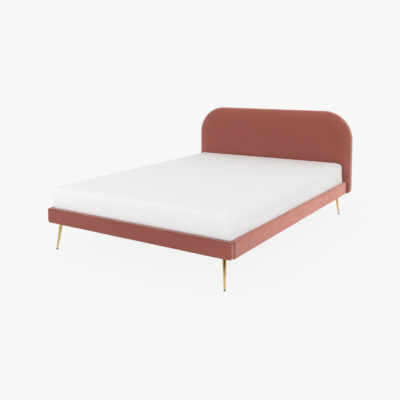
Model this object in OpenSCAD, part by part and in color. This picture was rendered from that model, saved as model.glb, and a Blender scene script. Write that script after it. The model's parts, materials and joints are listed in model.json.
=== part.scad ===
// Upholstered double bed: padded rails, an arched padded headboard, splayed tapered legs,
// a sprung slat base with a centre beam, and a loose mattress.
// X runs across the bed, +Y from the foot to the head and +Z up, in millimetres.
// The origin is on the floor, under the middle of the whole bed.

/* [Mattress] */
// Width of the mattress
mattress_w = 1350; // [1000:10:1700]
// Length of the mattress
mattress_l = 1900; // [1700:10:2100]
// Thickness of the mattress at its edges
mattress_t = 198; // [150:1:260]
// Rise of the top from its edges to its middle
mattress_crown = 8; // [4:1:30]
// Radius of the mattress corners, seen from above
mattress_corner_r = 40; // [36:1:120]
// Radius of the roll along the top edge
mattress_top_roll = 30; // [20:1:36]
// Radius of the roll along the bottom edge
mattress_bottom_roll = 20; // [10:1:28]
// How far its soft sides and foot end swell out over the rails that hold them in
mattress_swell = 13; // [4:0.5:16]
// How far the sides draw in at half height, above the rails
mattress_waist = 2; // [0.5:0.5:6]
// How far the top drops at each of its four corners
mattress_corner_drop = 10; // [0:1:40]
// Gap between the mattress and each side rail
mattress_gap_side = 10; // [9:0.5:25]
// Gap between the mattress and the foot rail
mattress_gap_foot = 10; // [9:0.5:30]
// Gap between the mattress and the headboard
mattress_gap_head = 13; // [9:1:25]
// Depth of the mattress below the top of the rails
mattress_sink = 52; // [30:1:60]

/* [Rails] */
// Height of the padded rails
rail_h = 98; // [92:1:130]
// Thickness of the rail boards
rail_board_t = 18; // [16:1:25]
// Foam on the outer face of a side rail
side_foam_t = 4; // [3:0.5:12]
// Foam on the front face of the foot rail
foot_foam_t = 6; // [3:0.5:12]
// Foam on the top edge of every rail
top_foam_t = 3; // [2:0.5:10]
// Thickness of the velvet cover
cover_t = 1.5; // [1:0.1:2]
// Depth of the strip of cover that is folded over onto an inner face
cover_return = 20; // [10:1:22]
// Radius of the outer top edge of the rails
rail_top_r = 9; // [6:0.5:12]
// Radius of the outer bottom edge of the rails
rail_bottom_r = 6; // [4:0.5:10]
// Radius of the inner top edge of the rails
rail_inner_r = 5; // [4:0.5:8]
// Radius of the lower corners of the foot rail, seen from the front
foot_corner_r = 20; // [8:1:30]
// Radius of the upright corners of the foot rail, seen from above
foot_end_r = 10; // [6:0.5:12]

/* [Headboard] */
// Overhang of the headboard past each side rail
headboard_overhang = 27.5; // [27:0.5:60]
// Height of the top of the headboard above the floor
headboard_top = 868; // [700:1:1200]
// Radius of the two top corners
headboard_corner_r = 245; // [100:1:300]
// Radius of the two bottom corners
headboard_foot_r = 28; // [15:1:50]
// Radius of the soft roll round the front
headboard_roll = 26; // [15:1:27]
// Radius of the edge round the back
headboard_back_r = 10; // [6:1:15]
// Foam in front of the panel
headboard_foam_t = 25; // [15:1:50]
// Foam round the edge of the panel
headboard_edge_foam_t = 10; // [6:1:20]
// Thickness of the front panel
headboard_panel_t = 9; // [6:1:15]
// Thickness of the timber frame behind the panel
headboard_frame_t = 38; // [30:1:60]
// Width of the stiles of the frame
headboard_stile_w = 70; // [60:1:90]
// Height of the lower and middle rails of the frame
headboard_rail_h = 70; // [60:1:90]
// Height of the top rail of the frame
headboard_top_rail_h = 130; // [100:1:180]
// Height of the middle rail's lower edge above the floor
headboard_middle_z = 430; // [380:1:500]
// Width of the cover that is folded onto the back
headboard_return = 34; // [28:1:60]
// Thickness of the cloth that closes the back
back_cloth_t = 1; // [0.5:0.1:1.5]

/* [Legs] */
// Height of the underside of the rails above the floor
leg_h = 182; // [150:1:260]
// Diameter of a leg at the top
leg_top_d = 32; // [24:1:33]
// Diameter of a leg at the floor
leg_tip_d = 12; // [10:0.5:22]
// Wall of the leg tube
leg_wall = 1.5; // [1:0.1:2.5]
// Height of the plastic tip
tip_h = 8; // [6:0.5:20]
// Length of the tip's plug inside the tube
tip_plug = 15; // [8:1:25]
// Outward splay of the tip across the bed
leg_splay_x = 18; // [0:1:30]
// Outward splay of the tip along the bed
leg_splay_y = 27; // [0:1:36]
// Side of the square leg plate
leg_plate_w = 50; // [50:1:56]
// Thickness of the leg plate
leg_plate_t = 3; // [2:0.5:4]
// Distance of a leg plate's middle from the outside of the side rail
leg_inset_side = 75; // [60:1:80]
// Gap between a leg plate and the back of the foot rail
leg_gap_foot = 0.5; // [0.3:0.1:20]
// Gap between a leg plate and the front of the headboard
leg_gap_head = 0.3; // [0.1:0.1:20]
// Distance of a leg screw's middle from the edges of its plate
leg_screw_edge = 7; // [6:0.5:8]

/* [Corners] */
// Length of a corner block across the bed
block_w = 85; // [85:1:120]
// Length of a corner block along the bed
block_l = 80; // [80:1:120]
// Height of a corner block
block_h = 32; // [25:1:34]
// Bevel on the inner corner of a block
block_bevel = 18; // [5:1:22]
// Height of the block's underside above the underside of the rails
block_recess = 4; // [4:0.5:8]
// Length of each flange of a steel corner angle
angle_l = 50; // [50:1:70]
// Height of a steel corner angle
angle_h = 34; // [30:1:38]
// Thickness of a steel corner angle
angle_t = 3; // [2:0.5:4]
// Distance of the nearer bolt from the corner
bolt_first = 16; // [15:0.5:18]
// Distance between the two bolts in one flange
bolt_pitch = 22; // [18:1:24]
// Diameter of the bolts
bolt_d = 8; // [6:1:8]
// Diameter of a bolt's domed head
bolt_head_d = 14; // [12:1:15]
// Height of a bolt's domed head
bolt_head_h = 4.4; // [3:0.1:5]
// Width of the hexagon socket in a bolt's head, across its corners
socket_w = 5; // [3:0.5:6]
// Depth of the hexagon socket
socket_depth = 2.2; // [1.5:0.1:2.8]
// Outside diameter of the threaded inserts
insert_d = 11; // [10:0.5:12]
// Length of the threaded inserts
insert_l = 13; // [10:1:15]

/* [Slat base] */
// Number of slat rows
slat_count = 14; // [10:1:14]
// Width of a slat
slat_w = 63; // [45:1:70]
// Thickness of a slat
slat_t = 8; // [6:0.5:10]
// Rise of a slat at its middle
slat_bow = 12; // [6:0.5:16]
// Depth of the slat in its end cap
cap_depth = 23; // [18:1:24]
// Wall of an end cap
cap_wall = 3; // [2:0.5:4]
// Thickness of an end cap under the slat
cap_base = 4; // [3:0.5:6]
// Diameter of the two pegs under a cap
peg_d = 8; // [5:0.5:10]
// Distance between the two pegs under a cap
peg_pitch = 32; // [20:1:40]
// How far a peg reaches through what it stands in
peg_past = 1; // [0.5:0.5:3]
// Width of the flange that carries the caps
ledge_w = 30; // [30:1:45]
// Height of the upright flange of the side ledges
ledge_h = 24; // [20:1:40]
// Thickness of the side ledges
ledge_t = 2.5; // [2:0.5:4]
// Gap between the end of a ledge and a corner block
ledge_gap = 2; // [1:0.5:6]
// Screws along each side ledge, one in each other space between slats
ledge_screw_step = 2; // [1:1:3]
// Width of the centre beam
beam_w = 50; // [50:1:70]
// Height of the centre beam
beam_h = 25; // [20:1:40]
// Wall of the centre beam
beam_wall = 2; // [1.5:0.1:4]
// Radius of the long edges of the centre beam
beam_edge_r = 3; // [2:0.5:5]
// Thickness of the steel beam brackets
bracket_t = 2.5; // [2:0.5:4]
// Rise of a bracket's back plate above the beam
bracket_rise = 18; // [15:1:20]
// Distance of the upper bracket screws from the top of the back plate
bracket_screw_edge = 6; // [5:0.5:8]
// Distance between the two screws in each ear of a bracket
bracket_screw_pitch = 18; // [12:1:20]
// Radius of the corners of the steel plates
plate_corner_r = 5; // [2:0.5:7]
// Length of the bracket's cradle under the beam
cradle_l = 35; // [25:1:60]
// Width of the bracket's back plate past each side of the cradle
bracket_ear = 17; // [15:1:30]
// Height of the cross rail at the head
cross_rail_h = 36; // [34:1:50]
// Gap between the cross rail and the mattress above it
cross_rail_gap = 2; // [1:0.5:4]

/* [Centre legs] */
// Number of centre legs
support_count = 2; // [1:1:3]
// Diameter of the centre leg tubes
support_d = 30; // [25:1:40]
// Wall of the centre leg tubes
support_wall = 1.5; // [1:0.1:3]
// Length of a centre leg's top plate along the bed
support_plate_l = 80; // [76:1:110]
// Thickness of a centre leg's top plate
support_plate_t = 3; // [2:0.5:5]
// Distance of a plate screw's middle from the end of a centre leg's top plate
support_screw_edge = 9; // [7:0.5:12]
// Height of the end of the tube above the floor
support_z0 = 28; // [26:1:40]
// Length of the plastic insert inside the tube
support_insert_l = 28; // [20:1:40]
// Height of the insert's collar under the tube
support_collar_h = 3; // [2:0.5:4]
// Diameter of the levelling foot's pad
pad_d = 38; // [30:1:60]
// Height of the pad
pad_h = 6; // [4:0.5:10]
// Bevel along the pad's lower edge
pad_bevel = 1; // [0.5:0.1:1.5]
// Diameter of the threaded stud
stud_d = 8; // [6:1:10]
// Length of the stud above the pad
stud_l = 44; // [42:1:50]
// Width across the flats of the stud's hexagon
hex_w = 13; // [12:0.5:17]
// Height of the stud's hexagon
hex_h = 5; // [4:0.5:7]

/* [Fits] */
// Clearance between parts that lie loosely against each other
rest_gap = 0.3; // [0.1:0.05:0.5]
// Radial clearance of bolts, pegs and screws in their holes
hole_gap = 0.05; // [0.02:0.01:0.2]
// Diameter of the wood screws
screw_d = 4.4; // [3.5:0.1:5]
// Length of the wood screws
screw_l = 16; // [12:1:16]
// Diameter of a screw's head
screw_head_d = 9; // [7:0.5:9]
// Height of a screw's head
screw_head_h = 2.6; // [2:0.1:3]

/* [Hidden] */
$fn = 48;
// How far a cut runs past the face that it opens
over = 1;
// Straight pieces in a slat's arc, so that each stays within a twentieth of a millimetre of it
bow_steps = 16;

function numbered(name, count) = [for (i = [1:count]) str(name, i < 10 ? "_0" : "_", i)];

SLAT_NODES = numbered("slat_pair", slat_count);
SUPPORT_NODES = numbered("centre_leg", support_count);
INSERT_NODES = numbered("centre_leg_insert", support_count);
LEVELLER_NODES = numbered("levelling_foot", support_count);

velvet = [0.60, 0.35, 0.31];
foam = [0.93, 0.90, 0.80];
plywood = [0.80, 0.66, 0.47];
pine = [0.85, 0.72, 0.52];
birch = [0.89, 0.78, 0.60];
brass = [0.77, 0.67, 0.48];
zinc = [0.70, 0.71, 0.72];
black = [0.10, 0.10, 0.11];
black_steel = [0.16, 0.16, 0.17];
ticking = [0.93, 0.93, 0.93];

// Across the bed
side_rail_t = rail_board_t + side_foam_t + 2 * cover_t;
inner_x = mattress_w / 2 + mattress_gap_side;
outer_x = inner_x + side_rail_t;
board_x = inner_x + cover_t;
headboard_x = outer_x + headboard_overhang;

// Along the bed
foot_rail_t = rail_board_t + foot_foam_t + 2 * cover_t;
headboard_t = 2 * cover_t + headboard_foam_t + headboard_panel_t + headboard_frame_t;
inner_l = mattress_l + mattress_gap_foot + mattress_gap_head;
overall_l = foot_rail_t + inner_l + headboard_t;
foot_y = -overall_l / 2;
rail_y0 = foot_y + foot_rail_t;
foot_board_y = rail_y0 - cover_t;
head_y = rail_y0 + inner_l;
back_y = head_y + headboard_t;
panel_y = head_y + cover_t + headboard_foam_t;
frame_y = panel_y + headboard_panel_t;
cross_y = head_y - rail_board_t;

// Up
rail_z0 = leg_h;
rail_z1 = rail_z0 + rail_h;
board_z0 = rail_z0 + cover_t;
board_z1 = rail_z1 - cover_t - top_foam_t;
block_z0 = rail_z0 + block_recess;
angle_z0 = block_z0 + block_h + rest_gap;
bolt_z = angle_z0 + angle_h / 2;
mattress_z0 = rail_z1 - mattress_sink;

// Slats: each half row is an arc from the double cap on the beam to the cap on the ledge
cap_web = 2 * cap_wall;
slat_x0 = cap_web / 2 + rest_gap;
slat_x1 = board_x - ledge_t - cap_wall - 2 * rest_gap;
slat_l = slat_x1 - slat_x0;
slat_mid_x = (slat_x0 + slat_x1) / 2;
slat_top_z = mattress_z0 - rest_gap;
slat_r = (slat_l * slat_l / 4 + slat_bow * slat_bow) / (2 * slat_bow);
slat_centre_z = slat_top_z - slat_r;
slat_low_z = slat_centre_z + sqrt(pow(slat_r - slat_t, 2) - slat_l * slat_l / 4);
support_z = slat_low_z - rest_gap - cap_base;
ledge_y0 = foot_board_y + block_l + ledge_gap;
ledge_y1 = head_y - block_l - ledge_gap;
slat_end = slat_w / 2 + cap_wall + rest_gap;
slat_pitch = (ledge_y1 - ledge_y0 - 2 * slat_end) / (slat_count - 1);

// Beam
beam_z0 = support_z - beam_h;
beam_y0 = foot_board_y + bracket_t + rest_gap;
beam_y1 = cross_y - bracket_t - rest_gap;
support_pitch = (beam_y1 - beam_y0) / (support_count + 1);
support_z1 = beam_z0 - support_plate_t;
bracket_top = support_z + bracket_rise;
bracket_x = beam_w / 2 + rest_gap + bracket_t;

function slat_y(i) = ledge_y0 + slat_end + (i - 1) * slat_pitch;
function support_y(i) = beam_y0 + i * support_pitch;

// A drawing of X and Z, with depth from y0 to y1
module along_y(y0, y1) {
    translate([0, y1, 0]) rotate([90, 0, 0]) linear_extrude(y1 - y0) children();
}

// A drawing of Y and Z, with length from x0 to x1
module along_x(x0, x1) {
    translate([x0, 0, 0]) rotate([90, 0, 90]) linear_extrude(x1 - x0) children();
}

// A drawing of X and Y, with height from z0 to z1
module along_z(z0, z1) {
    translate([0, 0, z0]) linear_extrude(z1 - z0) children();
}

// What rounding takes off one corner of a rectangle, whose inside lies towards sx and sy
module corner_cut(at, sx, sy, r) {
    if (r > 0) difference() {
        translate([at.x + (sx > 0 ? -over : -r), at.y + (sy > 0 ? -over : -r)]) square(r + over);
        translate([at.x + sx * r, at.y + sy * r]) circle(r);
    }
}

// A rectangle from lo to hi, its radii given from the lower left corner and anticlockwise
module soft_rect(lo, hi, r) {
    difference() {
        translate(lo) square(hi - lo);
        corner_cut(lo, 1, 1, r[0]);
        corner_cut([hi.x, lo.y], -1, 1, r[1]);
        corner_cut(hi, -1, -1, r[2]);
        corner_cut([lo.x, hi.y], 1, -1, r[3]);
    }
}

module rounded_rect(lo, hi, r) {
    soft_rect(lo, hi, [r, r, r, r]);
}

// A steel plate's outline
module steel_plate(lo, hi) {
    rounded_rect(lo, hi, plate_corner_r);
}

// Both sides of the bed: what is drawn at the right, and its mirror image at the left
module both_sides() {
    children();
    mirror([1, 0, 0]) children();
}

// One side of the bed: 1 is the right and -1 the left
module side(s) {
    if (s > 0) children();
    else mirror([1, 0, 0]) children();
}

// Outline of the headboard seen from the front, drawn in by inset
module arch(inset) {
    x = headboard_x - inset;
    z0 = rail_z0 + inset;
    z1 = headboard_top - inset;
    r = headboard_corner_r - inset;
    foot_r = headboard_foot_r - inset;
    difference() {
        union() {
            translate([-x, z0]) square([2 * x, z1 - z0 - r]);
            translate([-(x - r), z0]) square([2 * (x - r), z1 - z0]);
            for (s = [-1, 1]) translate([s * (x - r), z1 - r]) circle(r, $fn = 96);
        }
        corner_cut([-x, z0], 1, 1, foot_r);
        corner_cut([x, z0], -1, 1, foot_r);
    }
}

// Section through the soft edge of the headboard, out to the radius r, in from the edge and deep
module headboard_section(r, y0, y1, roll, edge) {
    soft_rect([0, y0], [r, y1], [0, roll, edge, 0]);
}

// The padded slab, drawn in by inset on every side: straight runs, two revolved corners and a middle
module headboard_form(inset) {
    x = headboard_x - inset;
    z0 = rail_z0 + inset;
    z1 = headboard_top - inset;
    r = headboard_corner_r - inset;
    y0 = head_y + inset;
    y1 = back_y - inset;
    roll = headboard_roll - inset;
    edge = min(headboard_back_r, headboard_core) - inset;
    foot_r = headboard_foot_r - inset;
    intersection() {
        union() {
            both_sides() {
                translate([x - r, 0, 0]) along_z(z0, z1 - r) headboard_section(r, y0, y1, roll, edge);
                translate([x - r, 0, z1 - r]) rotate([90, 0, 0]) rotate_extrude(angle = 90, $fn = 96)
                    mirror([0, 1]) headboard_section(r, y0, y1, roll, edge);
            }
            along_x(-(x - r), x - r)
                soft_rect([y0, z1 - r], [y1, z1], [0, 0, edge, roll]);
            along_y(y0, y1) translate([-(x - r), z0]) square([2 * (x - r), z1 - r - z0]);
        }
        along_x(-x - over, x + over)
            soft_rect([y0, z0], [y1, z1 + over], [edge, edge, 0, 0]);
        along_y(y0 - over, y1 + over)
            soft_rect([-x, z0], [x, z1 + over], [foot_r, foot_r, 0, 0]);
    }
}

// How far the panel and the frame lie inside the headboard's outline
headboard_core = cover_t + headboard_edge_foam_t;

module headboard_cover() {
    color(velvet) difference() {
        headboard_form(0);
        headboard_form(cover_t);
        along_y(back_y - 2 * cover_t, back_y + over) arch(headboard_return);
        headboard_bolt_holes(bolt_d / 2 + hole_gap);
    }
}

module headboard_foam() {
    color(foam) difference() {
        headboard_form(cover_t);
        along_y(panel_y, back_y + over) arch(headboard_core);
        headboard_bolt_holes(bolt_d / 2 + hole_gap);
    }
}

module headboard_panel() {
    color(plywood) difference() {
        along_y(panel_y, frame_y) arch(headboard_core);
        headboard_bolt_holes(bolt_d / 2 + hole_gap);
    }
}

frame_x = headboard_x - headboard_core;
frame_z0 = rail_z0 + headboard_core;
frame_z1 = headboard_top - headboard_core;

module headboard_stiles() {
    color(pine) difference() {
        both_sides() along_y(frame_y, back_y - cover_t) intersection() {
            arch(headboard_core);
            translate([frame_x - headboard_stile_w, frame_z0])
                square([headboard_stile_w, frame_z1 - frame_z0]);
        }
        headboard_bolt_holes(insert_d / 2 + hole_gap);
    }
}

module headboard_rails() {
    span = 2 * (frame_x - headboard_stile_w);
    color(pine) difference() {
        along_y(frame_y, back_y - cover_t) {
            for (z = [frame_z0, headboard_middle_z])
                translate([-span / 2, z]) square([span, headboard_rail_h]);
            intersection() {
                arch(headboard_core);
                translate([-span / 2, frame_z1 - headboard_top_rail_h])
                    square([span, headboard_top_rail_h]);
            }
        }
        headboard_bolt_holes(insert_d / 2 + hole_gap);
    }
}

module headboard_back_cloth() {
    color(black) along_y(back_y - cover_t, back_y - cover_t + back_cloth_t)
        arch(headboard_return + rest_gap);
}

// Radii of the foot rail's section, drawn in by inset: front bottom, back bottom, back top, front top
function foot_rail_radii(inset) =
    [rail_bottom_r - inset, 0, rail_inner_r - inset, rail_top_r - inset];

// The foot rail, drawn in by inset: its front view, section and plan, cut from each other
module foot_rail_form(inset) {
    x = outer_x - inset;
    y0 = foot_y + inset;
    y1 = rail_y0 - inset;
    z0 = rail_z0 + inset;
    z1 = rail_z1 - inset;
    intersection() {
        along_y(y0 - over, y1 + over) soft_rect([-x, z0], [x, z1],
            [foot_corner_r - inset, foot_corner_r - inset, rail_bottom_r - inset, rail_bottom_r - inset]);
        along_x(-x - over, x + over) soft_rect([y0, z0], [y1, z1], foot_rail_radii(inset));
        along_z(z0 - over, z1 + over) soft_rect([-x, y0], [x, y1],
            [foot_end_r - inset, foot_end_r - inset, 0, 0]);
    }
}

foot_board_x = outer_x - cover_t - side_foam_t;

// The foot board before it is drilled: its edges are eased like the inside of the cover
module foot_rail_core() {
    y0 = foot_board_y - rail_board_t;
    corner_r = foot_corner_r - cover_t;
    intersection() {
        along_y(y0, foot_board_y) soft_rect([-foot_board_x, board_z0], [foot_board_x, board_z1],
            [corner_r, corner_r, 0, 0]);
        along_x(-foot_board_x, foot_board_x)
            soft_rect([y0, board_z0], [foot_board_y, board_z1], foot_rail_radii(cover_t));
    }
}

module foot_rail_cover() {
    open_x = outer_x - cover_t - cover_return;
    color(velvet) difference() {
        foot_rail_form(0);
        foot_rail_form(cover_t);
        along_y(foot_board_y - over, rail_y0 + over) translate([-open_x, board_z0])
            square([2 * open_x, rail_z1 - cover_t - cover_return - board_z0]);
        along_y(foot_board_y, rail_y0 + over) translate([-open_x, rail_z0 - over])
            square([2 * open_x, cover_t + 2 * over]);
    }
}

module foot_rail_foam() {
    color(foam) difference() {
        foot_rail_form(cover_t);
        foot_rail_core();
    }
}

module foot_rail_board() {
    color(plywood) difference() {
        foot_rail_core();
        foot_bolt_holes(insert_d / 2 + hole_gap);
        foot_bracket_screw_holes();
    }
}

// Radii of a side rail's section, drawn in by inset: inner bottom, outer bottom, outer top, inner top
function side_rail_radii(inset) =
    [0, rail_bottom_r - inset, rail_top_r - inset, rail_inner_r - inset];

// Section through a side rail, drawn in by inset
module side_rail_section(inset) {
    soft_rect([inner_x + inset, rail_z0 + inset], [outer_x - inset, rail_z1 - inset],
        side_rail_radii(inset));
}

// Section through its board, whose edges are eased like the inside of the cover
module side_board_section() {
    soft_rect([board_x, board_z0], [board_x + rail_board_t, board_z1], side_rail_radii(cover_t));
}

module side_rail_cover(s) {
    color(velvet) side(s) along_y(rail_y0, head_y) difference() {
        side_rail_section(0);
        side_rail_section(cover_t);
        translate([inner_x - over, rail_z0 - over]) square([cover_t + over, cover_t + over]);
        translate([inner_x - over, rail_z0])
            square([cover_t + 2 * over, rail_h - cover_t - cover_return]);
    }
}

module side_rail_foam(s) {
    color(foam) side(s) along_y(rail_y0, head_y) difference() {
        side_rail_section(cover_t);
        side_board_section();
    }
}

module side_rail_board(s) {
    color(plywood) side(s) difference() {
        along_y(rail_y0, head_y) side_board_section();
        side_bolt_holes(insert_d / 2 + hole_gap);
        at_ledge_screws() screw_hole();
    }
}

module head_cross_rail() {
    x = board_x - block_w;
    z1 = mattress_z0 - cross_rail_gap;
    color(pine) difference() {
        along_y(cross_y, head_y) translate([-x, z1 - cross_rail_h]) square([2 * x, cross_rail_h]);
        head_bracket_screw_holes();
    }
}

// Plan of the block at the right of the foot, with its outer corner at the origin
module block_plan() {
    polygon([[0, 0], [0, block_l], [-block_w + block_bevel, block_l],
        [-block_w, block_l - block_bevel], [-block_w, 0]]);
}

module corner_blocks() {
    color(pine) difference() {
        both_sides() {
            translate([board_x, foot_board_y, 0]) along_z(block_z0, block_z0 + block_h) block_plan();
            translate([board_x, head_y, 0]) mirror([0, 1, 0])
                along_z(block_z0, block_z0 + block_h) block_plan();
        }
        for (s = [-1, 1], end = ["foot", "head"])
            at_leg(s, end) at_leg_screws() screw_hole();
    }
}

// Where bolts go: two along each flange, their heads towards the inside of the bed
module side_bolts() {
    for (p = [bolt_first, bolt_first + bolt_pitch], end = [0, 1])
        translate([board_x - angle_t, end == 0 ? foot_board_y + p : head_y - p, bolt_z])
            rotate([0, 90, 0]) children();
}

module foot_bolts() {
    for (p = [bolt_first, bolt_first + bolt_pitch])
        translate([board_x - p, foot_board_y + angle_t, bolt_z]) rotate([90, 0, 0]) children();
}

module headboard_bolts() {
    for (p = [bolt_first, bolt_first + bolt_pitch])
        translate([board_x - p, head_y - angle_t, bolt_z]) rotate([-90, 0, 0]) children();
}

module side_bolt_holes(r) {
    side_bolts() cylinder(h = angle_t + insert_l + over, r = r);
}

module foot_bolt_holes(r) {
    both_sides() foot_bolts() cylinder(h = angle_t + insert_l + over, r = r);
}

headboard_bolt_l = angle_t + frame_y - head_y + insert_l;

module headboard_bolt_holes(r) {
    both_sides() headboard_bolts() cylinder(h = headboard_bolt_l + over, r = r);
}

// A round-headed bolt that points along +Z, its head under z = 0
module bolt(length) {
    head_r = (bolt_head_d * bolt_head_d / 4 + bolt_head_h * bolt_head_h) / (2 * bolt_head_h);
    cylinder(h = length, d = bolt_d - 2 * hole_gap);
    difference() {
        intersection() {
            translate([0, 0, head_r - bolt_head_h]) sphere(head_r, $fn = 64);
            translate([0, 0, -bolt_head_h]) cylinder(h = bolt_head_h, d = bolt_head_d);
        }
        translate([0, 0, -bolt_head_h - over]) cylinder(h = socket_depth + over, d = socket_w, $fn = 6);
    }
}

module threaded_insert() {
    difference() {
        cylinder(h = insert_l, d = insert_d);
        translate([0, 0, -over]) cylinder(h = insert_l + 2 * over, d = bolt_d);
    }
}

module rail_bolts() {
    color(zinc) both_sides() {
        side_bolts() bolt(angle_t + insert_l);
        foot_bolts() bolt(angle_t + insert_l);
        headboard_bolts() bolt(headboard_bolt_l);
    }
}

module threaded_inserts() {
    color(brass) both_sides() {
        side_bolts() translate([0, 0, angle_t]) threaded_insert();
        foot_bolts() translate([0, 0, angle_t]) threaded_insert();
        headboard_bolts() translate([0, 0, headboard_bolt_l - insert_l]) threaded_insert();
    }
}

module angle_plan() {
    translate([-angle_l, 0]) square([angle_l, angle_t]);
    translate([-angle_t, 0]) square([angle_t, angle_l]);
}

module bolt_hole() {
    translate([0, 0, -over]) cylinder(h = angle_t + 2 * over, r = bolt_d / 2 + hole_gap);
}

module corner_angles() {
    color(zinc) difference() {
        both_sides() {
            translate([board_x, foot_board_y, 0]) along_z(angle_z0, angle_z0 + angle_h) angle_plan();
            translate([board_x, head_y, 0]) mirror([0, 1, 0])
                along_z(angle_z0, angle_z0 + angle_h) angle_plan();
        }
        both_sides() {
            side_bolts() bolt_hole();
            foot_bolts() bolt_hole();
            headboard_bolts() bolt_hole();
        }
    }
}

// Flat top of a screw's pan head, as a share of its diameter
screw_crown = 0.7;

// A wood screw that points along +Z, its pan head under z = 0
module screw() {
    point = screw_d;
    translate([0, 0, -screw_head_h])
        cylinder(h = screw_head_h, d1 = screw_head_d * screw_crown, d2 = screw_head_d);
    cylinder(h = screw_l - point, d = screw_d);
    translate([0, 0, screw_l - point]) cylinder(h = point, d1 = screw_d, d2 = screw_d / 8);
}

module screw_hole() {
    translate([0, 0, -screw_head_h]) cylinder(h = screw_l + screw_head_h, d = screw_d + 2 * hole_gap);
}

// The frame of a leg at the side s and the end "foot" or "head": its plate's middle is the origin,
// and +X and -Y point outwards
leg_x = outer_x - leg_inset_side;
leg_z1 = block_z0 - leg_plate_t;

module at_leg(s, end) {
    side(s) if (end == "foot")
        translate([leg_x, rail_y0 + leg_gap_foot + leg_plate_w / 2, 0]) children();
    else translate([leg_x, head_y - leg_gap_head - leg_plate_w / 2, 0]) mirror([0, 1, 0])
        children();
}

module at_leg_screws() {
    reach = leg_plate_w / 2 - leg_screw_edge;
    for (sx = [-1, 1], sy = [-1, 1]) translate([sx * reach, sy * reach, leg_z1]) children();
}

// The leg's cone, as fine as the tip at the floor, drawn in by inset and cut level at z0 and z1
module leg_cone(inset, z0, z1) {
    spread = norm([leg_splay_x, leg_splay_y]);
    lean = atan2(spread, leg_z1);
    axis_l = norm([spread, leg_z1]);
    growth = (leg_top_d - leg_tip_d) / 2 / axis_l;
    spare = leg_tip_d;
    room = spread + leg_top_d;
    intersection() {
        translate([leg_splay_x, -leg_splay_y, 0]) rotate([0, 0, atan2(leg_splay_y, -leg_splay_x)])
            rotate([0, lean, 0]) translate([0, 0, -spare])
            cylinder(h = axis_l + 2 * spare, r1 = leg_tip_d / 2 - inset - growth * spare,
                r2 = leg_top_d / 2 - inset + growth * spare);
        translate([-room, -room, z0]) cube([2 * room, 2 * room, z1 - z0]);
    }
}

module leg(s, end) {
    color(brass) at_leg(s, end) {
        difference() {
            leg_cone(0, tip_h, leg_z1);
            leg_cone(leg_wall, tip_h - over, leg_z1 - leg_wall);
        }
        difference() {
            along_z(leg_z1, block_z0)
                steel_plate([-leg_plate_w / 2, -leg_plate_w / 2], [leg_plate_w / 2, leg_plate_w / 2]);
            at_leg_screws() screw_hole();
        }
    }
}

module leg_tip(s, end) {
    color(black) at_leg(s, end) {
        leg_cone(0, 0, tip_h);
        leg_cone(leg_wall + hole_gap, tip_h, tip_h + tip_plug);
    }
}

module leg_screws() {
    color(zinc) for (s = [-1, 1], end = ["foot", "head"])
        at_leg(s, end) at_leg_screws() screw();
}

// Ledge screws stand in the spaces between the slats
module at_ledge_screws() {
    for (i = [1:ledge_screw_step:slat_count - 1])
        translate([board_x - ledge_t, slat_y(i) + slat_pitch / 2, support_z + ledge_h / 2])
            rotate([0, 90, 0]) children();
}

module ledge(s) {
    color(black_steel) side(s) difference() {
        along_y(ledge_y0, ledge_y1) {
            translate([board_x - ledge_w, support_z - ledge_t]) square([ledge_w, ledge_t]);
            translate([board_x - ledge_t, support_z - ledge_t]) square([ledge_t, ledge_h]);
        }
        at_ledge_screws() screw_hole();
        at_cap_pegs(cap_peg_x) peg_hole(ledge_t);
    }
}

// Pegs under each cap: a pair in a line along the bed at the distance x from the middle
cap_peg_x = board_x - ledge_w / 2;

module at_cap_pegs(x) {
    for (i = [1:slat_count], p = [-1, 1])
        translate([x, slat_y(i) + p * peg_pitch / 2, support_z]) children();
}

module peg_hole(wall) {
    translate([0, 0, -wall - over]) cylinder(h = wall + 2 * over, d = peg_d + 2 * hole_gap);
}

module peg(wall) {
    translate([0, 0, -wall - peg_past]) cylinder(h = wall + peg_past + cap_base / 2, d = peg_d);
}

// Points from xa to xb on the arc of radius r round the slat's centre
function bow_points(r, xa, xb, steps) = [for (i = [0:steps]) let (x = xa + (xb - xa) * i / steps)
    [x, slat_centre_z + sqrt(r * r - pow(x - slat_mid_x, 2))]];

// Arc of a half row seen from the foot, thickened by gap
module slat_arc(gap) {
    polygon(concat(bow_points(slat_r - slat_t - gap, slat_x0 - gap, slat_x1 + gap, bow_steps),
        bow_points(slat_r + gap, slat_x1 + gap, slat_x0 - gap, bow_steps)));
}

module slat_pair(i) {
    color(birch) both_sides() along_y(slat_y(i) - slat_w / 2, slat_y(i) + slat_w / 2) slat_arc(0);
}

// A cap from x0 to x1: its top follows the slat
module cap_outline(x0, x1) {
    polygon(concat([[x0, support_z], [x1, support_z]],
        bow_points(slat_r + rest_gap + cap_wall, x1, x0, 2)));
}

module cap_slot(i) {
    along_y(slat_y(i) - slat_w / 2 - rest_gap, slat_y(i) + slat_w / 2 + rest_gap) slat_arc(rest_gap);
}

module slat_caps_side(s) {
    color(black) side(s) {
        for (i = [1:slat_count]) difference() {
            along_y(slat_y(i) - slat_end, slat_y(i) + slat_end)
                cap_outline(slat_x1 - cap_depth, slat_x1 + rest_gap + cap_wall);
            cap_slot(i);
        }
        at_cap_pegs(cap_peg_x) peg(ledge_t);
    }
}

module slat_caps_centre() {
    color(black) {
        for (i = [1:slat_count]) difference() {
            along_y(slat_y(i) - slat_end, slat_y(i) + slat_end)
                both_sides() cap_outline(0, slat_x0 + cap_depth);
            both_sides() cap_slot(i);
        }
        at_cap_pegs(0) peg(beam_wall);
    }
}

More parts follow.
